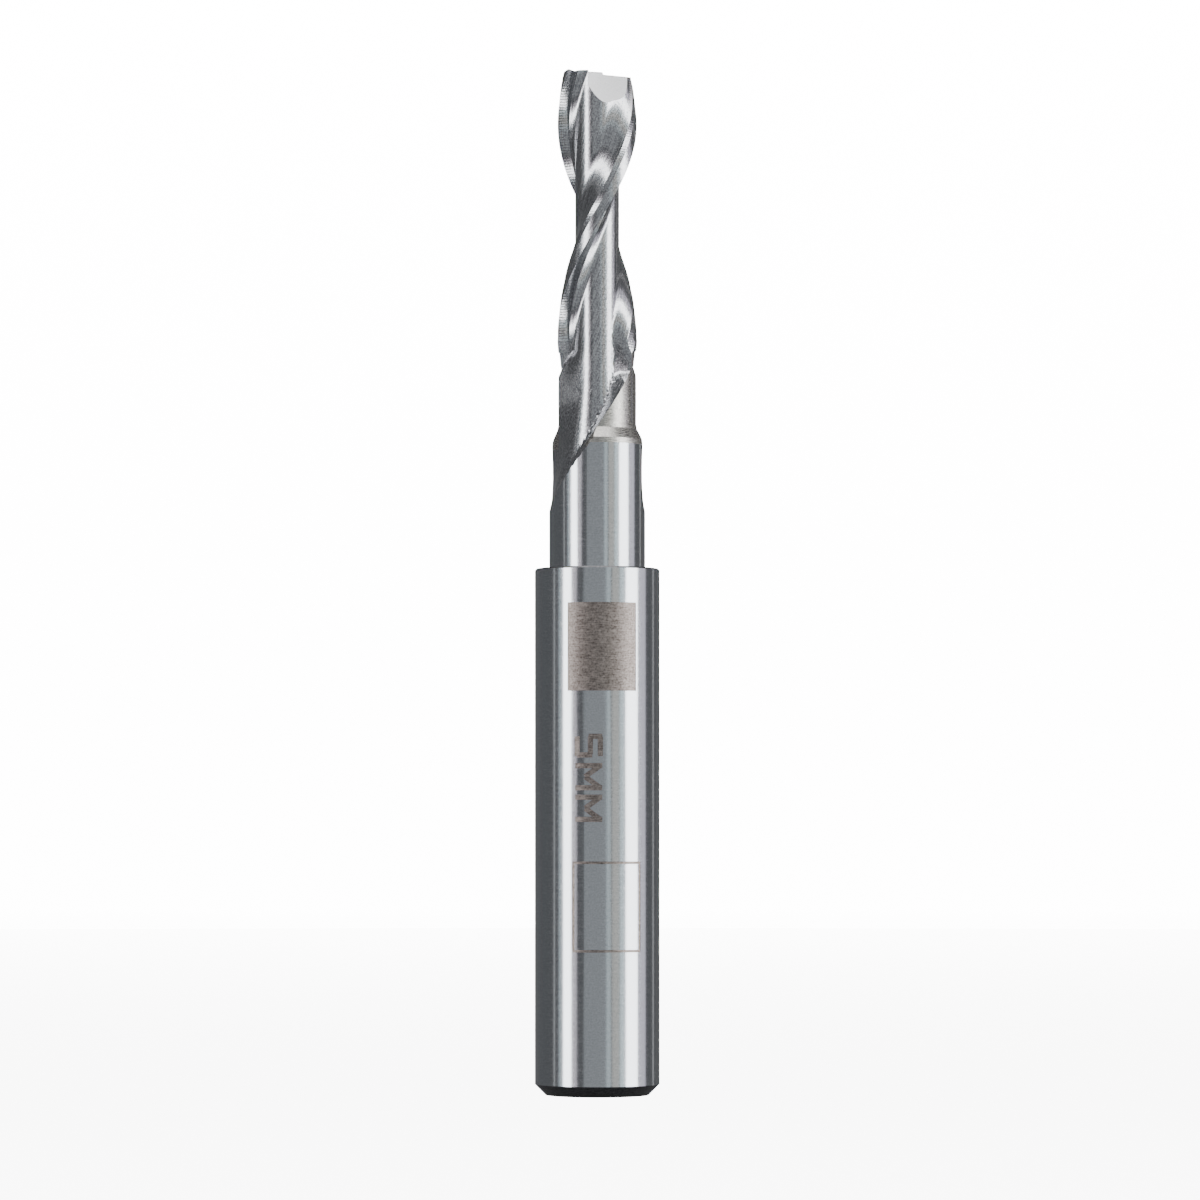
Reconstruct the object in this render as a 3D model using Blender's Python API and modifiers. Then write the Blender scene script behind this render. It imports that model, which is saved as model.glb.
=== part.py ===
# Two-flute spiral router bit, made in one piece and standing on the end of its shank.
# The axis is Z, the origin is the centre of the shank's end face and the cutting end points up.
# Every size is in metres, and every angle is in degrees until it is used.

import math

import bmesh
import bpy

MM = 0.001

# Sizes along the axis
SHANK_LENGTH = 33.7 * MM
NECK_LENGTH = 8.07 * MM
CONE_LENGTH = 0.85 * MM
ROUND_LENGTH = 5.08 * MM
CUTTING_LENGTH = 17.8 * MM
RELIEF_OVERRUN = 1.4 * MM

# Diameters
SHANK_DIAMETER = 8.0 * MM
NECK_DIAMETER = 6.15 * MM
ROUND_DIAMETER = 5.0 * MM
CUTTING_DIAMETER = 5.18 * MM
CORE_DIAMETER = 2.82 * MM

# Edges of the turned blank
END_CHAMFER = 0.7 * MM
SHOULDER_CHAMFER = 0.1 * MM
CONE_FILLET = 0.35 * MM
STEP_LENGTH = 0.15 * MM

# Flutes: a right-hand helix that cuts to the right
FLUTE_COUNT = 2
HELIX_LEAD = 27.0 * MM
TIP_EDGE_ANGLE = 227.0
RAKE_HOOK = 7.0
FLOOR_MIDDLE = 80.0
BACK_WIDTH = 50.0
BACK_END = 156.0
BACK_DROP = 0.23 * MM
BACK_SLOPE = 0.0084 * MM
GULLET_RISE = 0.45 * MM
GULLET_WIDTH = 20.0

# The run-out, where the grinding wheel leaves the flute
RUN_OUT_LIFT_START = 0.9 * MM
RUN_OUT_LIFT_LENGTH = 10.6 * MM
RUN_OUT_LIFT_POWER = 1.4
RUN_OUT_TURN_SHARE = 0.53
RUN_OUT_RAKE_LENGTH = 3.0 * MM
RUN_OUT_BACK_LEAD = 0.7 * MM
RUN_OUT_BACK_LENGTH = 2.2 * MM
RUN_OUT_BACK_WIDTH = 20.0
RUN_OUT_STEEPENING = 3.5 * MM
RUN_OUT_BACK_END = 187.0
RUN_OUT_BACK_RATE = 8.3 / MM
RUN_OUT_BACK_SLOPE = 0.05 * MM

# Relief behind each cutting edge, as drops below the cutting radius
PRIMARY_WIDTH = 12.5
PRIMARY_DROP = 0.055 * MM
SECONDARY_WIDTH = 24.0
SECONDARY_DROP = 0.23 * MM

# The end teeth
GASH_WALL_TURN = 43.0
GASH_WALL_OFFSET = 0.56 * MM
GASH_SLOPE = 66.7
GASH_FALL_TURN = 64.8
GASH_START = 0.83 * MM
END_RELIEF = 8.0
END_DISH = 2.0
END_OVERLAP = 0.08 * MM

# How finely the curved faces are divided
TURNED_STEPS = 64
FLUTE_STEP = 0.45 * MM
FLUTE_POINTS = 16
CUT_MARGIN = 0.6 * MM

# Levels and radii worked out from the sizes above
NECK_TOP = SHANK_LENGTH + NECK_LENGTH
CONE_TOP = NECK_TOP + CONE_LENGTH
CUTTING_START = CONE_TOP + ROUND_LENGTH
TIP_LEVEL = CUTTING_START + CUTTING_LENGTH
RELIEF_START = CUTTING_START - RELIEF_OVERRUN
CUTTING_RADIUS = CUTTING_DIAMETER / 2
CORE_RADIUS = CORE_DIAMETER / 2
LARGEST_RADIUS = max(NECK_DIAMETER, CUTTING_DIAMETER, ROUND_DIAMETER) / 2
CUTTER_RADIUS = LARGEST_RADIUS + CUT_MARGIN
FLOOR_LIMIT = LARGEST_RADIUS + CUT_MARGIN / 2
RUN_OUT_END = CUTTING_START - RUN_OUT_LIFT_START - RUN_OUT_LIFT_LENGTH


def clear_scene():
    for old in list(bpy.data.objects):
        bpy.data.objects.remove(old, do_unlink=True)


def new_collection(name):
    collection = bpy.data.collections.new(name)
    bpy.context.scene.collection.children.link(collection)
    return collection


def add_mesh_object(name, mesh, collection):
    made = bpy.data.objects.new(name, mesh)
    collection.objects.link(made)
    return made


def apply_modifiers(piece):
    """Replace the piece's mesh by the one that its modifiers give."""
    graph = bpy.context.evaluated_depsgraph_get()
    mesh = bpy.data.meshes.new_from_object(piece.evaluated_get(graph))
    piece.modifiers.clear()
    piece.data = mesh


def blank_profile():
    """The turned outline from the tip down to the shank's end, as (radius, level)."""
    shank = SHANK_DIAMETER / 2
    neck = NECK_DIAMETER / 2
    round_part = ROUND_DIAMETER / 2
    slope = (neck - round_part) / CONE_LENGTH
    return [
        (0.0, TIP_LEVEL),
        (CUTTING_RADIUS, TIP_LEVEL),
        (CUTTING_RADIUS, CUTTING_START),
        (round_part, CUTTING_START - STEP_LENGTH),
        (round_part, CONE_TOP + CONE_FILLET),
        (round_part + slope * CONE_FILLET * 0.3, CONE_TOP),
        (neck - slope * CONE_FILLET * 0.3, NECK_TOP + CONE_FILLET * 0.5),
        (neck, NECK_TOP - CONE_FILLET * 0.5),
        (neck, SHANK_LENGTH),
        (shank - SHOULDER_CHAMFER, SHANK_LENGTH),
        (shank, SHANK_LENGTH - SHOULDER_CHAMFER),
        (shank, END_CHAMFER),
        (shank - END_CHAMFER, 0.0),
        (0.0, 0.0),
    ]


def make_blank(collection):
    """The ground blank: shank, neck, cone and cutting part turned about Z."""
    profile = blank_profile()
    mesh = bpy.data.meshes.new("router_bit")
    points = [(radius, 0.0, level) for radius, level in profile]
    links = [(index, index + 1) for index in range(len(profile) - 1)]
    mesh.from_pydata(points, links, [])
    blank = add_mesh_object("router_bit", mesh, collection)
    screw = blank.modifiers.new("turned", "SCREW")
    screw.axis = "Z"
    screw.steps = TURNED_STEPS
    screw.render_steps = TURNED_STEPS
    screw.use_merge_vertices = True
    screw.merge_threshold = 0.000001
    apply_modifiers(blank)
    return blank


def edge_angle(level):
    """The direction of the first cutting edge at a level, in degrees."""
    turned = 360.0 * (level - TIP_LEVEL) / HELIX_LEAD
    if level >= CUTTING_START:
        return TIP_EDGE_ANGLE + turned
    start_turn = 360.0 * (CUTTING_START - TIP_LEVEL) / HELIX_LEAD
    below = 360.0 * (level - CUTTING_START) / HELIX_LEAD
    return TIP_EDGE_ANGLE + start_turn + RUN_OUT_TURN_SHARE * below


def floor_distance(level):
    """How far the flute's floor lies from the axis: the wheel lifts out of the run-out."""
    below = max(CUTTING_START - RUN_OUT_LIFT_START - level, 0.0)
    lift = (below / RUN_OUT_LIFT_LENGTH) ** RUN_OUT_LIFT_POWER
    return CORE_RADIUS + (FLOOR_LIMIT - CORE_RADIUS) * lift


def run_out_share(level, length):
    """0 along the cutting edges, rising to 1 at a length below them."""
    return min(max((CUTTING_START - level) / length, 0.0), 1.0)


def between(first, second, share):
    return first + (second - first) * share


def rake_side(angle, level):
    """Radius from the rake face to the floor: a round gullet, and a flat along the run-out."""
    core = floor_distance(level)
    hollow = core + GULLET_RISE * max(1.0 - angle / GULLET_WIDTH, 0.0) ** 2
    lean = math.cos(math.radians(angle - FLOOR_MIDDLE))
    flat = min(core / max(lean, 0.1), FLOOR_LIMIT)
    return between(hollow, flat, run_out_share(level, RUN_OUT_RAKE_LENGTH))


def back_side(angle, level):
    """Radius from the floor up the back of the flute to the heel of the next land."""
    core = floor_distance(level)
    share = run_out_share(level - RUN_OUT_BACK_LEAD, RUN_OUT_BACK_LENGTH)
    below = max(CUTTING_START - level, 0.0)
    steep = run_out_share(level - RUN_OUT_STEEPENING, RUN_OUT_STEEPENING)
    width = between(BACK_WIDTH, RUN_OUT_BACK_WIDTH, steep)
    end = between(BACK_END, RUN_OUT_BACK_END - RUN_OUT_BACK_RATE * below, share)
    top = between(CUTTING_RADIUS - BACK_DROP, LARGEST_RADIUS, share)
    slope = between(BACK_SLOPE, RUN_OUT_BACK_SLOPE, share)
    step = min(max((angle - end + width) / width, 0.0), 1.0)
    climb = between(step ** 2, step * step * (3.0 - 2.0 * step), steep)
    return core + max(top - core, 0.0) * climb + slope * max(angle - end, 0.0)


def flute_floor(angle, level):
    """Radius of the flute's surface at an angle ahead of the cutting edge."""
    if angle < FLOOR_MIDDLE:
        radius = max(rake_side(angle, level), back_side(angle, level))
    else:
        radius = back_side(angle, level)
    return min(radius, FLOOR_LIMIT)


def polar(radius, angle, level):
    turn = math.radians(angle)
    return (radius * math.cos(turn), radius * math.sin(turn), level)


def loft_band(name, rings, collection):
    """A closed solid through rings; a ring is one side's points, then the other's back."""
    build = bmesh.new()
    rows = [[build.verts.new(point) for point in ring] for ring in rings]
    count = len(rows[0])
    for lower, upper in zip(rows, rows[1:]):
        for index in range(count):
            after = (index + 1) % count
            build.faces.new((lower[index], lower[after], upper[after], upper[index]))
    for index in range(count // 2 - 1):
        corners = (index, index + 1, count - 2 - index, count - 1 - index)
        build.faces.new([rows[-1][corner] for corner in corners])
        build.faces.new([rows[0][corner] for corner in reversed(corners)])
    bmesh.ops.triangulate(build, faces=build.faces[:])
    if build.calc_volume(signed=True) < 0.0:
        bmesh.ops.reverse_faces(build, faces=build.faces[:])
    mesh = bpy.data.meshes.new(name)
    build.to_mesh(mesh)
    build.free()
    return add_mesh_object(name, mesh, collection)


def levels_between(bottom, top, step):
    count = max(int(math.ceil((top - bottom) / step)), 1)
    return [bottom + (top - bottom) * index / count for index in range(count + 1)]


def flute_angles():
    """Angles ahead of the edge, closer together in the gullet than on the floor."""
    shares = [index / FLUTE_POINTS for index in range(FLUTE_POINTS + 1)]
    return [180.0 * (0.55 * share ** 2 + 0.45 * share) for share in shares]


def flute_ring(level, start):
    """The flute's cross-section: floor from the rake face to the heel, then outside back."""
    first = edge_angle(level) + start
    hook = RAKE_HOOK * (1.0 - run_out_share(level, RUN_OUT_RAKE_LENGTH))
    ring = []
    for index, angle in enumerate(flute_angles()):
        lean = -hook if index == 0 else 0.0
        ring.append(polar(flute_floor(angle, level), first + angle + lean, level))
    lean_out = hook * CUT_MARGIN / LARGEST_RADIUS
    outer = [polar(CUTTER_RADIUS, first + angle, level) for angle in flute_angles()]
    outer[0] = polar(CUTTER_RADIUS, first + lean_out, level)
    return ring + list(reversed(outer))


def make_flute(start, collection):
    rings = [flute_ring(level, start)
             for level in levels_between(RUN_OUT_END, TIP_LEVEL + CUT_MARGIN, FLUTE_STEP)]
    return loft_band("flute", rings, collection)


def relief_radius(behind):
    """Radius of the two ground strips at an angle behind the cutting edge."""
    if behind <= PRIMARY_WIDTH:
        return CUTTING_RADIUS - PRIMARY_DROP * behind / PRIMARY_WIDTH
    share = (behind - PRIMARY_WIDTH) / (SECONDARY_WIDTH - PRIMARY_WIDTH)
    return CUTTING_RADIUS - PRIMARY_DROP - (SECONDARY_DROP - PRIMARY_DROP) * share


def relief_ring(level, start):
    """The land's cross-section, from just ahead of the edge to well past the heel."""
    edge = TIP_EDGE_ANGLE + 360.0 * (level - TIP_LEVEL) / HELIX_LEAD + start
    past = SECONDARY_WIDTH * 1.5
    angles = [-2.0, 0.0, PRIMARY_WIDTH, past]
    inner = [polar(relief_radius(angle), edge - angle, level) for angle in angles]
    outer = [polar(CUTTER_RADIUS, edge - angle, level) for angle in reversed(angles)]
    return inner + outer


def make_relief(start, collection):
    rings = [relief_ring(level, start)
             for level in levels_between(RELIEF_START, TIP_LEVEL + CUT_MARGIN, FLUTE_STEP)]
    return loft_band("relief", rings, collection)


def turned_point(direction, along, ahead, level):
    """A place given along a direction and ahead of it, in the turning direction."""
    turn = math.radians(direction)
    x = along * math.cos(turn) - ahead * math.sin(turn)
    y = along * math.sin(turn) + ahead * math.cos(turn)
    return (x, y, level)


def make_gash(start, collection):
    """The notch in front of an end tooth: an upright wall and a floor that falls outward."""
    direction = TIP_EDGE_ANGLE + GASH_WALL_TURN + start
    reach = CUTTER_RADIUS + CUT_MARGIN
    fall = math.tan(math.radians(GASH_SLOPE))
    fall_along = fall * math.sin(math.radians(GASH_FALL_TURN))
    fall_ahead = fall * math.cos(math.radians(GASH_FALL_TURN))
    top = TIP_LEVEL + fall_along * (reach + GASH_START) + CUT_MARGIN
    rings = []
    for along in (-reach, reach):
        wall_foot = TIP_LEVEL - fall_along * (along - GASH_START)
        far_foot = wall_foot - fall_ahead * (reach + GASH_WALL_OFFSET)
        rings.append([
            turned_point(direction, along, -GASH_WALL_OFFSET, wall_foot),
            turned_point(direction, along, reach, far_foot),
            turned_point(direction, along, reach, top),
            turned_point(direction, along, -GASH_WALL_OFFSET, top),
        ])
    return loft_band("gash", rings, collection)


def make_end_relief(start, collection):
    """The end face of one tooth, falling toward the centre and away behind the edge."""
    direction = TIP_EDGE_ANGLE + start
    reach = CUTTER_RADIUS + CUT_MARGIN
    dish = math.tan(math.radians(END_DISH))
    relief = math.tan(math.radians(END_RELIEF))
    top = TIP_LEVEL + CUT_MARGIN * 2
    rings = []
    for along in (-END_OVERLAP, reach):
        edge_level = TIP_LEVEL - dish * (CUTTING_RADIUS - along)
        rings.append([
            turned_point(direction, along, -reach, edge_level - relief * reach),
            turned_point(direction, along, reach, edge_level + relief * reach),
            turned_point(direction, along, reach, top),
            turned_point(direction, along, -reach, top),
        ])
    return loft_band("end_relief", rings, collection)


def cut(piece, cutter):
    cutter.hide_render = True
    cutter.display_type = "WIRE"
    boolean = piece.modifiers.new(cutter.name, "BOOLEAN")
    boolean.operation = "DIFFERENCE"
    boolean.solver = "EXACT"
    boolean.object = cutter


def carbide_material():
    material = bpy.data.materials.new("ground_carbide")
    material.use_nodes = True
    shader = material.node_tree.nodes["Principled BSDF"]
    shader.inputs["Base Color"].default_value = (0.42, 0.43, 0.44, 1.0)
    shader.inputs["Metallic"].default_value = 1.0
    shader.inputs["Roughness"].default_value = 0.28
    return material


def main():
    clear_scene()
    parts = new_collection("spiral_router_bit")
    cutters = new_collection("cutters")
    bit = make_blank(parts)
    for number in range(FLUTE_COUNT):
        start = 360.0 * number / FLUTE_COUNT
        cut(bit, make_end_relief(start, cutters))
        cut(bit, make_gash(start, cutters))
        cut(bit, make_relief(start, cutters))
        cut(bit, make_flute(start, cutters))
    apply_modifiers(bit)
    bit.data.materials.clear()
    bit.data.materials.append(carbide_material())
    bit.data.shade_smooth()
    bit.data.set_sharp_from_angle(angle=math.radians(25.0))


main()
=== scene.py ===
# The spiral router bit dressed for its picture: a finely divided body cut from the same sizes
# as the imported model, shallow etched marks, ground metal finishes, a pale floor and soft
# studio lights.
# Sizes are in metres and angles in degrees until they are used.

import math

import bmesh
import bpy
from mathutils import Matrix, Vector


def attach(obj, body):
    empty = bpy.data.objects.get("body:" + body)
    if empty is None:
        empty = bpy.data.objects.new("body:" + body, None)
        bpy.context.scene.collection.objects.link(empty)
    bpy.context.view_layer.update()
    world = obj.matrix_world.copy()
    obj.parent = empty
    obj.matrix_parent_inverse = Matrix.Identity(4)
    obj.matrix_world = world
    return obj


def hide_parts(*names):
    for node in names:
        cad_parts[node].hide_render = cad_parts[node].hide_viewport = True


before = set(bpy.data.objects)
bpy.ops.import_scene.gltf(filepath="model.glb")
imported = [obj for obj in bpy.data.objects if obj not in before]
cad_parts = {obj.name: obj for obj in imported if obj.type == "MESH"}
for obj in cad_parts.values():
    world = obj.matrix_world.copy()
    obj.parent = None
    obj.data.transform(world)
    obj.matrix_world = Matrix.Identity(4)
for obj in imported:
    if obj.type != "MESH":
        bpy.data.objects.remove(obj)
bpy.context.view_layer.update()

MM = 0.001
NODE = "router_bit"

# The bit's own sizes
SHANK_LENGTH = 33.7 * MM
NECK_LENGTH = 8.07 * MM
CONE_LENGTH = 0.85 * MM
ROUND_LENGTH = 5.08 * MM
CUTTING_LENGTH = 17.8 * MM
RELIEF_OVERRUN = 1.4 * MM
SHANK_DIAMETER = 8.0 * MM
NECK_DIAMETER = 6.15 * MM
ROUND_DIAMETER = 5.0 * MM
CUTTING_DIAMETER = 5.18 * MM
CORE_DIAMETER = 2.82 * MM
END_CHAMFER = 0.7 * MM
SHOULDER_CHAMFER = 0.1 * MM
CONE_FILLET = 0.35 * MM
CONE_EASE = 0.3
STEP_LENGTH = 0.15 * MM

# Flutes: a right-hand helix that cuts to the right, each starting at its own direction
FLUTE_STARTS = (0.0, 180.0)
FLUTE_SPAN = 180.0
HELIX_LEAD = 27.0 * MM
TIP_EDGE_ANGLE = 227.0
RAKE_HOOK = 7.0
FLOOR_MIDDLE = 80.0
BACK_WIDTH = 50.0
BACK_END = 156.0
BACK_DROP = 0.23 * MM
BACK_SLOPE = 0.0084 * MM
GULLET_RISE = 0.45 * MM
GULLET_WIDTH = 20.0

# The run-out, where the grinding wheel leaves the flute
RUN_OUT_LIFT_START = 0.9 * MM
RUN_OUT_LIFT_LENGTH = 10.6 * MM
RUN_OUT_LIFT_POWER = 1.4
RUN_OUT_TURN_SHARE = 0.53
RUN_OUT_RAKE_LENGTH = 3.0 * MM
RUN_OUT_BACK_LEAD = 0.7 * MM
RUN_OUT_BACK_LENGTH = 2.2 * MM
RUN_OUT_BACK_WIDTH = 20.0
RUN_OUT_STEEPENING = 3.5 * MM
RUN_OUT_BACK_END = 187.0
RUN_OUT_BACK_RATE = 8.3 / MM
RUN_OUT_BACK_SLOPE = 0.05 * MM
STEEPEST_LEAN = 0.1

# Relief behind each cutting edge, as drops below the cutting radius
RELIEF_LEAD = 2.0
RELIEF_PAST = 1.5
PRIMARY_WIDTH = 12.5
PRIMARY_DROP = 0.055 * MM
SECONDARY_WIDTH = 24.0
SECONDARY_DROP = 0.23 * MM

# The end teeth
GASH_WALL_TURN = 43.0
GASH_WALL_OFFSET = 0.56 * MM
GASH_SLOPE = 66.7
GASH_FALL_TURN = 64.8
GASH_START = 0.83 * MM
END_RELIEF = 8.0
END_DISH = 2.0
END_OVERLAP = 0.08 * MM

# How finely the dressed body is divided
TURNED_STEPS = 180
FLUTE_STEP = 0.16 * MM
FLUTE_POINTS = 56
CROWDING = 0.55
EVENNESS = 0.45
CUT_MARGIN = 0.6 * MM
MERGE_DISTANCE = 0.001 * MM
SHARP_ANGLE = 5.0

# Shallow marks etched on the shank
MARK_STEP = 0.2 * MM
MARK_DEPTH = 0.015 * MM
MARK_STROKE = 0.33 * MM
MARK_LINE = 0.16 * MM
MARK_FOOT = -1.3 * MM
MARK_HEIGHT = 1.5 * MM
MARK_FACING = 270.0
FIGURE_WIDTH = 1.25 * MM
FIGURE_PITCH = 1.85 * MM
LETTER_WIDTH = 1.4 * MM
LETTER_PITCH = 2.0 * MM
SIZE_MARK_TOP = 22.9 * MM
PANEL_TOP = 31.4 * MM
PANEL_LENGTH = 5.6 * MM
PANEL_WIDTH = 4.6 * MM
PANEL_MIDDLE = 0.35 * MM
FRAME_TOP = 14.9 * MM
FRAME_LENGTH = 5.6 * MM
FRAME_LEFT = -1.55 * MM
FRAME_RIGHT = 2.95 * MM

# The finishes, by their places in the body's list, and the limits that tell them apart
SHANK_GROUND, FLUTE_GROUND, TURNED_COARSE, CHAMFER_DARK, GASH_GROUND, MARK_ETCHED = range(6)
OUTWARD_LIMIT = 0.995
SHOULDER_LIMIT = 0.05 * MM
MARK_LIMIT = 0.3
GASH_DEPTH_LIMIT = 2.6 * MM
GASH_FACING_LIMIT = 0.3
ROUND_LIMIT = 0.998

# The pattern of ground metal: how its colour and gloss follow the noise
GRAIN_SCALE = 9000.0
TONE_RANGE = (0.7, 1.3)
GLOSS_RANGE = (0.3, 0.7)
ANISOTROPY = 0.25

# The floor, a round tray whose rim curves up, and how strongly it glows
FLOOR_REACH = 0.80
FLOOR_BEND = 0.30
FLOOR_HEIGHT = 0.45
FLOOR_STEPS = 96
FLOOR_BEND_STEPS = 12
FLOOR_TONE = 0.92
FLOOR_GLOW = 9.0

# The soft top light and the dim room
TOP_LIGHT_PLACE = (0.0, -0.05, 0.55)
TOP_LIGHT_SIZE = 0.5
TOP_LIGHT_POWER = 3.0
ROOM_COLOUR = (0.95, 0.97, 1.0, 1.0)
ROOM_STRENGTH = 0.17

# Levels and radii worked out from the sizes above
NECK_TOP = SHANK_LENGTH + NECK_LENGTH
CONE_TOP = NECK_TOP + CONE_LENGTH
CUTTING_START = CONE_TOP + ROUND_LENGTH
TIP_LEVEL = CUTTING_START + CUTTING_LENGTH
RELIEF_START = CUTTING_START - RELIEF_OVERRUN
CUTTING_RADIUS = CUTTING_DIAMETER / 2
CORE_RADIUS = CORE_DIAMETER / 2
LARGEST_RADIUS = NECK_DIAMETER / 2
CUTTER_RADIUS = LARGEST_RADIUS + CUT_MARGIN
FLOOR_LIMIT = LARGEST_RADIUS + CUT_MARGIN / 2
RUN_OUT_END = CUTTING_START - RUN_OUT_LIFT_START - RUN_OUT_LIFT_LENGTH

# The camera, from the photograph: a level view along +Y with the image plane upright
PHOTO_SIZE = 1200.0
PIXELS_PER_METRE = 15600.0
AXIS_PIXEL = 597.2
FLOOR_PIXEL = 1094.8
HORIZON_PIXEL = 828.0
CAMERA_DISTANCE = 0.300
SENSOR_WIDTH = 36.0


def blank_profile():
    """The turned outline from the tip down to the shank's end, as (radius, level)."""
    shank = SHANK_DIAMETER / 2
    neck = NECK_DIAMETER / 2
    round_part = ROUND_DIAMETER / 2
    slope = (neck - round_part) / CONE_LENGTH
    return [
        (0.0, TIP_LEVEL),
        (CUTTING_RADIUS, TIP_LEVEL),
        (CUTTING_RADIUS, CUTTING_START),
        (round_part, CUTTING_START - STEP_LENGTH),
        (round_part, CONE_TOP + CONE_FILLET),
        (round_part + slope * CONE_FILLET * CONE_EASE, CONE_TOP),
        (neck - slope * CONE_FILLET * CONE_EASE, NECK_TOP + CONE_FILLET / 2),
        (neck, NECK_TOP - CONE_FILLET / 2),
        (neck, SHANK_LENGTH),
        (shank - SHOULDER_CHAMFER, SHANK_LENGTH),
        (shank, SHANK_LENGTH - SHOULDER_CHAMFER),
        (shank, END_CHAMFER),
        (shank - END_CHAMFER, 0.0),
        (0.0, 0.0),
    ]


def add_mesh_object(name, mesh):
    made = bpy.data.objects.new(name, mesh)
    bpy.context.scene.collection.objects.link(made)
    return made


def apply_modifiers(piece):
    """Replace the piece's mesh by the one that its modifiers give."""
    graph = bpy.context.evaluated_depsgraph_get()
    mesh = bpy.data.meshes.new_from_object(piece.evaluated_get(graph))
    piece.modifiers.clear()
    piece.data = mesh


def make_blank():
    """The ground blank: shank, neck, cone and cutting part turned about Z."""
    profile = blank_profile()
    mesh = bpy.data.meshes.new("bit_body")
    points = [(radius, 0.0, level) for radius, level in profile]
    links = [(index, index + 1) for index in range(len(profile) - 1)]
    mesh.from_pydata(points, links, [])
    blank = add_mesh_object("bit_body", mesh)
    screw = blank.modifiers.new("turned", "SCREW")
    screw.axis = "Z"
    screw.steps = TURNED_STEPS
    screw.render_steps = TURNED_STEPS
    screw.use_merge_vertices = True
    screw.merge_threshold = MERGE_DISTANCE
    apply_modifiers(blank)
    return blank


def edge_angle(level):
    """The direction of the first cutting edge at a level; it turns less along the run-out."""
    turned = 360.0 * (level - TIP_LEVEL) / HELIX_LEAD
    if level >= CUTTING_START:
        return TIP_EDGE_ANGLE + turned
    start_turn = 360.0 * (CUTTING_START - TIP_LEVEL) / HELIX_LEAD
    below = 360.0 * (level - CUTTING_START) / HELIX_LEAD
    return TIP_EDGE_ANGLE + start_turn + RUN_OUT_TURN_SHARE * below


def floor_distance(level):
    """How far the flute's floor lies from the axis: the wheel lifts out of the run-out."""
    below = max(CUTTING_START - RUN_OUT_LIFT_START - level, 0.0)
    lift = (below / RUN_OUT_LIFT_LENGTH) ** RUN_OUT_LIFT_POWER
    return CORE_RADIUS + (FLOOR_LIMIT - CORE_RADIUS) * lift


def run_out_share(level, length):
    """0 along the cutting edges, rising to 1 at a length below them."""
    return min(max((CUTTING_START - level) / length, 0.0), 1.0)


def between(first, second, share):
    """A value part of the way from the first to the second."""
    return first + (second - first) * share


def rake_side(angle, level):
    """Radius from the rake face to the floor: a round gullet, and a flat along the run-out."""
    core = floor_distance(level)
    hollow = core + GULLET_RISE * max(1.0 - angle / GULLET_WIDTH, 0.0) ** 2
    lean = math.cos(math.radians(angle - FLOOR_MIDDLE))
    flat = min(core / max(lean, STEEPEST_LEAN), FLOOR_LIMIT)
    return between(hollow, flat, run_out_share(level, RUN_OUT_RAKE_LENGTH))


def back_side(angle, level):
    """Radius from the floor up the back of the flute to the heel of the next land."""
    core = floor_distance(level)
    share = run_out_share(level - RUN_OUT_BACK_LEAD, RUN_OUT_BACK_LENGTH)
    below = max(CUTTING_START - level, 0.0)
    steep = run_out_share(level - RUN_OUT_STEEPENING, RUN_OUT_STEEPENING)
    width = between(BACK_WIDTH, RUN_OUT_BACK_WIDTH, steep)
    end = between(BACK_END, RUN_OUT_BACK_END - RUN_OUT_BACK_RATE * below, share)
    top = between(CUTTING_RADIUS - BACK_DROP, LARGEST_RADIUS, share)
    slope = between(BACK_SLOPE, RUN_OUT_BACK_SLOPE, share)
    step = min(max((angle - end + width) / width, 0.0), 1.0)
    climb = between(step ** 2, step * step * (3.0 - 2.0 * step), steep)
    return core + max(top - core, 0.0) * climb + slope * max(angle - end, 0.0)


def flute_floor(angle, level):
    """Radius of the flute's surface at an angle ahead of the cutting edge."""
    if angle < FLOOR_MIDDLE:
        radius = max(rake_side(angle, level), back_side(angle, level))
    else:
        radius = back_side(angle, level)
    return min(radius, FLOOR_LIMIT)


def polar(radius, angle, level):
    """A place given by its radius, its direction and its level."""
    turn = math.radians(angle)
    return (radius * math.cos(turn), radius * math.sin(turn), level)


def loft_band(name, rings):
    """A closed solid through rings; a ring is one side's points, then the other's back."""
    build = bmesh.new()
    rows = [[build.verts.new(point) for point in ring] for ring in rings]
    count = len(rows[0])
    for lower, upper in zip(rows, rows[1:]):
        for index in range(count):
            after = (index + 1) % count
            build.faces.new((lower[index], lower[after], upper[after], upper[index]))
    for index in range(count // 2 - 1):
        corners = (index, index + 1, count - 2 - index, count - 1 - index)
        build.faces.new([rows[-1][corner] for corner in corners])
        build.faces.new([rows[0][corner] for corner in reversed(corners)])
    bmesh.ops.triangulate(build, faces=build.faces[:])
    if build.calc_volume(signed=True) < 0.0:
        bmesh.ops.reverse_faces(build, faces=build.faces[:])
    mesh = bpy.data.meshes.new(name)
    build.to_mesh(mesh)
    build.free()
    return add_mesh_object(name, mesh)


def levels_between(bottom, top, step):
    """Evenly spaced levels, no further apart than the step."""
    count = max(int(math.ceil((top - bottom) / step)), 1)
    return [bottom + (top - bottom) * index / count for index in range(count + 1)]


def flute_angles():
    """Angles ahead of the edge, closer together in the gullet than on the floor."""
    shares = [index / FLUTE_POINTS for index in range(FLUTE_POINTS + 1)]
    return [FLUTE_SPAN * (CROWDING * share ** 2 + EVENNESS * share) for share in shares]


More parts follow.
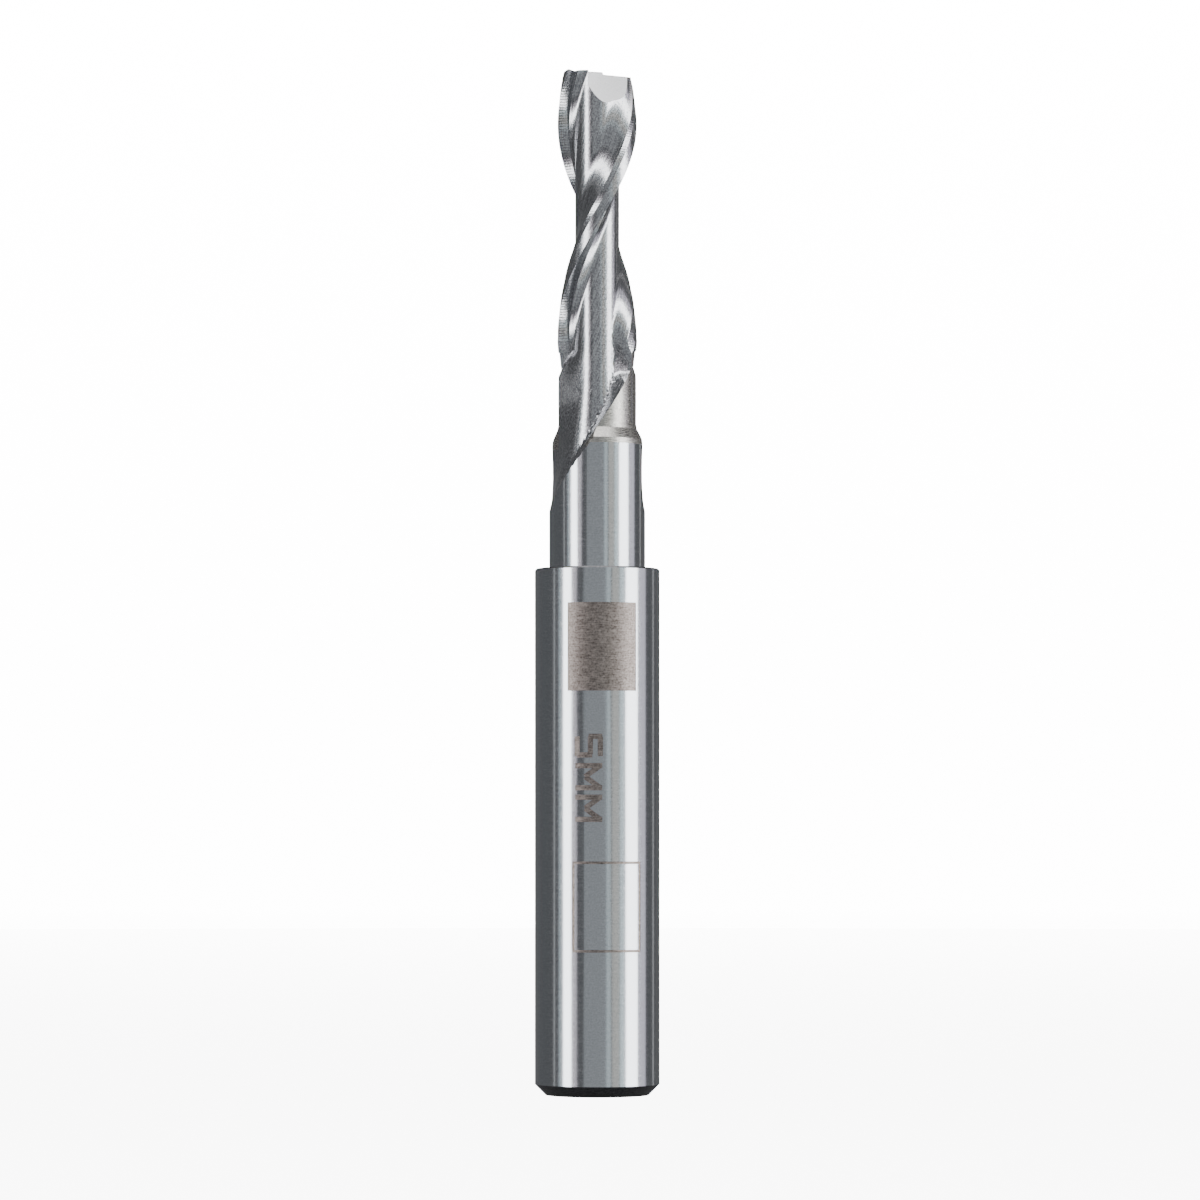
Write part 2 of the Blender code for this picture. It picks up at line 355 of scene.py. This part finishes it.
def flute_ring(level, start):
    """The flute's cross-section: floor from the rake face to the heel, then outside back."""
    first = edge_angle(level) + start
    hook = RAKE_HOOK * (1.0 - run_out_share(level, RUN_OUT_RAKE_LENGTH))
    ring = []
    for index, angle in enumerate(flute_angles()):
        lean = -hook if index == 0 else 0.0
        ring.append(polar(flute_floor(angle, level), first + angle + lean, level))
    lean_out = hook * CUT_MARGIN / LARGEST_RADIUS
    outer = [polar(CUTTER_RADIUS, first + angle, level) for angle in flute_angles()]
    outer[0] = polar(CUTTER_RADIUS, first + lean_out, level)
    return ring + list(reversed(outer))


def make_flute(start):
    """The cutter for one flute, from the end of its run-out to above the tip."""
    levels = levels_between(RUN_OUT_END, TIP_LEVEL + CUT_MARGIN, FLUTE_STEP)
    return loft_band("flute", [flute_ring(level, start) for level in levels])


def relief_radius(behind):
    """Radius of the two ground strips at an angle behind the cutting edge."""
    if behind <= PRIMARY_WIDTH:
        return CUTTING_RADIUS - PRIMARY_DROP * behind / PRIMARY_WIDTH
    share = (behind - PRIMARY_WIDTH) / (SECONDARY_WIDTH - PRIMARY_WIDTH)
    return CUTTING_RADIUS - PRIMARY_DROP - (SECONDARY_DROP - PRIMARY_DROP) * share


def relief_ring(level, start):
    """The land's cross-section, from just ahead of the edge to well past the heel."""
    edge = TIP_EDGE_ANGLE + 360.0 * (level - TIP_LEVEL) / HELIX_LEAD + start
    angles = [-RELIEF_LEAD, 0.0, PRIMARY_WIDTH, SECONDARY_WIDTH * RELIEF_PAST]
    inner = [polar(relief_radius(angle), edge - angle, level) for angle in angles]
    outer = [polar(CUTTER_RADIUS, edge - angle, level) for angle in reversed(angles)]
    return inner + outer


def make_relief(start):
    """The cutter for the two relief strips behind one edge."""
    levels = levels_between(RELIEF_START, TIP_LEVEL + CUT_MARGIN, FLUTE_STEP)
    return loft_band("relief", [relief_ring(level, start) for level in levels])


def turned_point(direction, along, ahead, level):
    """A place given along a direction and ahead of it, in the turning direction."""
    turn = math.radians(direction)
    x = along * math.cos(turn) - ahead * math.sin(turn)
    y = along * math.sin(turn) + ahead * math.cos(turn)
    return (x, y, level)


def make_gash(start):
    """The notch in front of an end tooth: an upright wall and a floor that falls outward."""
    direction = TIP_EDGE_ANGLE + GASH_WALL_TURN + start
    reach = CUTTER_RADIUS + CUT_MARGIN
    fall = math.tan(math.radians(GASH_SLOPE))
    fall_along = fall * math.sin(math.radians(GASH_FALL_TURN))
    fall_ahead = fall * math.cos(math.radians(GASH_FALL_TURN))
    top = TIP_LEVEL + fall_along * (reach + GASH_START) + CUT_MARGIN
    rings = []
    for along in (-reach, reach):
        wall_foot = TIP_LEVEL - fall_along * (along - GASH_START)
        far_foot = wall_foot - fall_ahead * (reach + GASH_WALL_OFFSET)
        rings.append([
            turned_point(direction, along, -GASH_WALL_OFFSET, wall_foot),
            turned_point(direction, along, reach, far_foot),
            turned_point(direction, along, reach, top),
            turned_point(direction, along, -GASH_WALL_OFFSET, top),
        ])
    return loft_band("gash", rings)


def make_end_relief(start):
    """The end face of one tooth, falling toward the centre and away behind the edge."""
    direction = TIP_EDGE_ANGLE + start
    reach = CUTTER_RADIUS + CUT_MARGIN
    dish = math.tan(math.radians(END_DISH))
    relief = math.tan(math.radians(END_RELIEF))
    top = TIP_LEVEL + CUT_MARGIN * 2
    rings = []
    for along in (-END_OVERLAP, reach):
        edge_level = TIP_LEVEL - dish * (CUTTING_RADIUS - along)
        rings.append([
            turned_point(direction, along, -reach, edge_level - relief * reach),
            turned_point(direction, along, reach, edge_level + relief * reach),
            turned_point(direction, along, reach, top),
            turned_point(direction, along, -reach, top),
        ])
    return loft_band("end_relief", rings)


def cut(piece, cutter):
    """Take the cutter's shape from the piece."""
    boolean = piece.modifiers.new(cutter.name, "BOOLEAN")
    boolean.operation = "DIFFERENCE"
    boolean.solver = "EXACT"
    boolean.object = cutter


def make_mark(first, last, width):
    """A shallow etched band on the shank between two places, given as (across, level)."""
    shank = SHANK_DIAMETER / 2
    run = Vector(last) - Vector(first)
    side = Vector((-run.y, run.x)).normalized() * width
    steps = max(int(math.ceil(run.length / MARK_STEP)), 1)
    columns = max(int(math.ceil(width / MARK_STEP)), 1)
    rings = []
    for step in range(steps + 1):
        places = [Vector(first) + run * step / steps + side * (column / columns - 0.5)
                  for column in range(columns + 1)]
        rings.append([polar(radius, MARK_FACING + math.degrees(place.x / shank), place.y)
                      for radius, row in ((shank - MARK_DEPTH, places),
                                          (shank + CUT_MARGIN, places[::-1]))
                      for place in row])
    return loft_band("mark", rings)


def letter_marks(strokes, top, width):
    """One character, read from top to bottom of the shank with its head to the right."""
    places = [[(MARK_FOOT + up * MARK_HEIGHT, top - along * width) for along, up in stroke]
              for stroke in strokes]
    return [make_mark(first, last, MARK_STROKE)
            for row in places for first, last in zip(row, row[1:])]


def make_marks():
    """The size in millimetres, a plain panel above it and a plain frame below it."""
    five = [[(1, 1), (0, 1)], [(0, 1.08), (0, 0.5)], [(0, 0.58), (0.9, 0.58)],
            [(0.94, 0.66), (0.94, 0)], [(1, 0), (0, 0)]]
    em = [[(0, -0.08), (0, 1.08)], [(0, 1), (0.5, 0.35)], [(0.5, 0.35), (1, 1)],
          [(1, 1.08), (1, -0.08)]]
    marks = letter_marks(five, SIZE_MARK_TOP, FIGURE_WIDTH)
    for number in range(2):
        top = SIZE_MARK_TOP - FIGURE_PITCH - number * LETTER_PITCH
        marks += letter_marks(em, top, LETTER_WIDTH)
    marks.append(make_mark((PANEL_MIDDLE, PANEL_TOP), (PANEL_MIDDLE, PANEL_TOP - PANEL_LENGTH),
                           PANEL_WIDTH))
    low = FRAME_TOP - FRAME_LENGTH
    half = MARK_LINE / 2
    for level in (FRAME_TOP, low):
        marks.append(make_mark((FRAME_LEFT - half, level), (FRAME_RIGHT + half, level), MARK_LINE))
    for across in (FRAME_LEFT, FRAME_RIGHT):
        marks.append(make_mark((across, low), (across, FRAME_TOP), MARK_LINE))
    return marks


def mix_nodes(nodes, links, factor, first, second):
    """A colour between two, by a factor from another node."""
    mix = nodes.new("ShaderNodeMix")
    mix.data_type = "RGBA"
    links.new(factor, mix.inputs[0])
    mix.inputs[6].default_value = first
    mix.inputs[7].default_value = second
    return mix.outputs[2]


def ground_metal(name, light, dark, rough, spread, lines_scale, bump_height, helical=False):
    """Ground metal: fine grinding lines, which can follow the helix, and a speckled grain."""
    material = bpy.data.materials.new(name)
    material.use_nodes = True
    nodes = material.node_tree.nodes
    links = material.node_tree.links
    shader = nodes["Principled BSDF"]
    shader.inputs["Metallic"].default_value = 1.0
    shader.inputs["Anisotropic"].default_value = ANISOTROPY
    spot = nodes.new("ShaderNodeTexCoord").outputs["Object"]
    place = spot
    if helical:
        split = nodes.new("ShaderNodeSeparateXYZ")
        links.new(place, split.inputs[0])
        turn = nodes.new("ShaderNodeMath")
        turn.operation = "MULTIPLY"
        turn.inputs[1].default_value = -2.0 * math.pi / HELIX_LEAD
        links.new(split.outputs["Z"], turn.inputs[0])
        untwist = nodes.new("ShaderNodeVectorRotate")
        untwist.rotation_type = "Z_AXIS"
        links.new(place, untwist.inputs["Vector"])
        links.new(turn.outputs[0], untwist.inputs["Angle"])
        place = untwist.outputs["Vector"]
    stretch = nodes.new("ShaderNodeMapping")
    stretch.inputs["Scale"].default_value = lines_scale
    links.new(place, stretch.inputs["Vector"])
    lines = nodes.new("ShaderNodeTexNoise")
    lines.inputs["Scale"].default_value = 1.0
    lines.inputs["Detail"].default_value = 3.0
    links.new(stretch.outputs["Vector"], lines.inputs["Vector"])
    grain = nodes.new("ShaderNodeTexNoise")
    grain.inputs["Scale"].default_value = GRAIN_SCALE
    grain.inputs["Detail"].default_value = 2.0
    links.new(spot, grain.inputs["Vector"])
    both = nodes.new("ShaderNodeMath")
    both.operation = "ADD"
    links.new(lines.outputs["Fac"], both.inputs[0])
    links.new(grain.outputs["Fac"], both.inputs[1])
    tone = nodes.new("ShaderNodeMapRange")
    tone.inputs["From Min"].default_value = TONE_RANGE[0]
    tone.inputs["From Max"].default_value = TONE_RANGE[1]
    links.new(both.outputs[0], tone.inputs["Value"])
    links.new(mix_nodes(nodes, links, tone.outputs[0], dark, light), shader.inputs["Base Color"])
    sheen = nodes.new("ShaderNodeMapRange")
    sheen.inputs["From Min"].default_value = GLOSS_RANGE[0]
    sheen.inputs["From Max"].default_value = GLOSS_RANGE[1]
    sheen.inputs["To Min"].default_value = rough - spread
    sheen.inputs["To Max"].default_value = rough + spread
    links.new(lines.outputs["Fac"], sheen.inputs["Value"])
    links.new(sheen.outputs[0], shader.inputs["Roughness"])
    bump = nodes.new("ShaderNodeBump")
    bump.inputs["Strength"].default_value = 1.0
    bump.inputs["Distance"].default_value = bump_height
    links.new(both.outputs[0], bump.inputs["Height"])
    links.new(bump.outputs["Normal"], shader.inputs["Normal"])
    return material


def pale_material(name, tone, glow):
    """A dull pale surface that glows enough to stay light."""
    material = bpy.data.materials.new(name)
    material.use_nodes = True
    shader = material.node_tree.nodes["Principled BSDF"]
    shader.inputs["Base Color"].default_value = (tone, tone, tone, 1.0)
    shader.inputs["Roughness"].default_value = 0.9
    shader.inputs["Emission Color"].default_value = (1.0, 1.0, 1.0, 1.0)
    shader.inputs["Emission Strength"].default_value = glow
    return material


def finish_of(face):
    """Which finish a face takes, from where it lies on the bit and how it faces."""
    middle = face.center
    radius = math.hypot(middle.x, middle.y)
    facing = face.normal
    outward = Vector((middle.x, middle.y, 0.0))
    if radius > 0.0:
        outward = outward.normalized()
    turned = facing.dot(outward) > OUTWARD_LIMIT
    if middle.z < END_CHAMFER:
        return CHAMFER_DARK
    shank = SHANK_DIAMETER / 2
    if middle.z < SHANK_LENGTH - CUT_MARGIN and radius < shank - MARK_DEPTH * MARK_LIMIT:
        return MARK_ETCHED
    if middle.z < NECK_TOP - CONE_FILLET and turned:
        return SHANK_GROUND
    if middle.z < SHANK_LENGTH + SHOULDER_LIMIT:
        return CHAMFER_DARK
    if middle.z > TIP_LEVEL - GASH_DEPTH_LIMIT and facing.z > GASH_FACING_LIMIT:
        return GASH_GROUND
    round_limit = ROUND_DIAMETER / 2 * ROUND_LIMIT
    if RELIEF_START > middle.z > NECK_TOP - CONE_FILLET and radius > round_limit:
        return TURNED_COARSE
    return FLUTE_GROUND


def make_finishes():
    """The finishes in the order of their numbers."""
    shank = ground_metal("shank_ground", light=(0.55, 0.57, 0.595, 1), dark=(0.43, 0.45, 0.475, 1),
                         rough=0.13, spread=0.04, lines_scale=(1500, 1500, 60000),
                         bump_height=0.0000006)
    flute = ground_metal("flute_ground", light=(0.58, 0.585, 0.60, 1), dark=(0.24, 0.245, 0.26, 1),
                         rough=0.18, spread=0.08, lines_scale=(26000, 26000, 500),
                         bump_height=0.000002, helical=True)
    turned = ground_metal("turned_coarse", light=(0.50, 0.49, 0.46, 1), dark=(0.26, 0.25, 0.235, 1),
                          rough=0.30, spread=0.08, lines_scale=(3000, 3000, 30000),
                          bump_height=0.000003)
    edge = ground_metal("chamfer_dark", light=(0.16, 0.16, 0.165, 1), dark=(0.06, 0.06, 0.065, 1),
                        rough=0.35, spread=0.08, lines_scale=(3000, 3000, 40000),
                        bump_height=0.000001)
    gash = ground_metal("gash_ground", light=(0.62, 0.62, 0.63, 1), dark=(0.52, 0.52, 0.53, 1),
                        rough=0.36, spread=0.05, lines_scale=(12000, 12000, 12000),
                        bump_height=0.0000015)
    etched = ground_metal("mark_etched", light=(0.33, 0.29, 0.27, 1), dark=(0.12, 0.10, 0.09, 1),
                          rough=0.42, spread=0.08, lines_scale=(2000, 2000, 14000),
                          bump_height=0.000002)
    return [shank, flute, turned, edge, gash, etched]


def make_bit():
    """The bit, cut from its blank and given its finishes face by face."""
    bit = make_blank()
    cutters = make_marks()
    for start in FLUTE_STARTS:
        cutters += [make_end_relief(start), make_gash(start), make_relief(start), make_flute(start)]
    for cutter in cutters:
        cut(bit, cutter)
    apply_modifiers(bit)
    for cutter in cutters:
        bpy.data.objects.remove(cutter, do_unlink=True)
    bit.data.materials.clear()
    for finish in make_finishes():
        bit.data.materials.append(finish)
    for face in bit.data.polygons:
        face.material_index = finish_of(face)
    bit.data.shade_smooth()
    bit.data.set_sharp_from_angle(angle=math.radians(SHARP_ANGLE))
    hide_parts(NODE)
    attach(bit, "root")


def make_floor():
    """A pale round floor that curves up all round, well outside the lights."""
    flat = FLOOR_REACH - FLOOR_BEND
    outline = [(flat, 0.0)]
    for index in range(1, FLOOR_BEND_STEPS + 1):
        turn = math.radians(90.0 * index / FLOOR_BEND_STEPS)
        outline.append((flat + FLOOR_BEND * math.sin(turn),
                        FLOOR_BEND - FLOOR_BEND * math.cos(turn)))
    outline.append((FLOOR_REACH, FLOOR_HEIGHT))
    points = [polar(radius, 360.0 * step / FLOOR_STEPS, level)
              for radius, level in outline for step in range(FLOOR_STEPS)]
    faces = [list(range(FLOOR_STEPS))]
    for row in range(len(outline) - 1):
        low = row * FLOOR_STEPS
        high = low + FLOOR_STEPS
        for step in range(FLOOR_STEPS):
            after = (step + 1) % FLOOR_STEPS
            faces.append((low + step, low + after, high + after, high + step))
    mesh = bpy.data.meshes.new("floor")
    mesh.from_pydata(points, [], faces)
    floor = add_mesh_object("floor", mesh)
    mesh.materials.append(pale_material("floor_pale", FLOOR_TONE, FLOOR_GLOW))
    mesh.shade_smooth()
    floor.visible_glossy = False


def strip_light(name, azimuth, width, strength, colour, distance=0.40, height=0.9, level=0.05):
    """An upright soft light seen by the bit at an azimuth from the camera, width in degrees."""
    turn = math.radians(azimuth)
    place = Vector((distance * math.sin(turn), -distance * math.cos(turn), level))
    breadth = 2 * distance * math.tan(math.radians(width) / 2)
    lamp = bpy.data.lights.new(name, "AREA")
    lamp.shape = "RECTANGLE"
    lamp.size = breadth
    lamp.size_y = height
    lamp.color = colour
    lamp.energy = strength * math.pi * breadth * height
    made = bpy.data.objects.new(name, lamp)
    bpy.context.scene.collection.objects.link(made)
    made.location = place
    aim = Vector((0.0, 0.0, level)) - place
    made.rotation_euler = aim.to_track_quat("-Z", "Y").to_euler()


def make_lights():
    """Upright strips that draw the long highlights, a soft top light and a dim room."""
    strip_light("left_strip", -57.0, 17.0, 7.5, (1.0, 1.0, 1.0))
    strip_light("left_soft", -71.0, 9.0, 0.6, (0.82, 0.93, 1.0))
    strip_light("left_inner", -43.0, 10.0, 0.9, (1.0, 0.90, 0.97))
    strip_light("front", 0.0, 50.0, 0.3, (0.92, 0.97, 1.0), 0.46)
    strip_light("right_cool", 21.0, 8.0, 0.55, (0.80, 0.96, 1.0))
    strip_light("right_warm", 34.0, 14.0, 0.7, (1.0, 0.97, 0.88))
    strip_light("right_pale", 47.0, 10.0, 1.3, (0.84, 0.97, 1.0))
    strip_light("right_strip", 67.0, 26.0, 7.5, (1.0, 1.0, 1.0))
    strip_light("right_lilac", 91.0, 18.0, 1.1, (0.93, 0.88, 1.0))
    strip_light("left_line", -86.0, 3.0, 0.6, (1.0, 1.0, 1.0))
    strip_light("right_line", 126.0, 3.0, 0.8, (1.0, 0.97, 0.97))
    top = bpy.data.lights.new("top", "AREA")
    top.shape = "SQUARE"
    top.size = TOP_LIGHT_SIZE
    top.energy = TOP_LIGHT_POWER
    made = bpy.data.objects.new("top", top)
    bpy.context.scene.collection.objects.link(made)
    made.location = TOP_LIGHT_PLACE
    world = bpy.data.worlds.new("room")
    bpy.context.scene.world = world
    world.use_nodes = True
    background = world.node_tree.nodes["Background"]
    background.inputs["Color"].default_value = ROOM_COLOUR
    background.inputs["Strength"].default_value = ROOM_STRENGTH


def make_camera():
    """The camera that sees the bit as the photograph does."""
    data = bpy.data.cameras.new("camera")
    data.sensor_width = SENSOR_WIDTH
    data.lens = SENSOR_WIDTH * CAMERA_DISTANCE * PIXELS_PER_METRE / PHOTO_SIZE
    data.shift_x = -(AXIS_PIXEL - PHOTO_SIZE / 2) / PHOTO_SIZE
    data.shift_y = (HORIZON_PIXEL - PHOTO_SIZE / 2) / PHOTO_SIZE
    data.clip_start = 0.01
    camera = bpy.data.objects.new("camera", data)
    bpy.context.scene.collection.objects.link(camera)
    height = (FLOOR_PIXEL - HORIZON_PIXEL) / PIXELS_PER_METRE
    camera.location = (0.0, -CAMERA_DISTANCE, height)
    camera.rotation_euler = (math.radians(90.0), 0.0, 0.0)
    bpy.context.scene.camera = camera


make_camera()
make_bit()
make_floor()
make_lights()
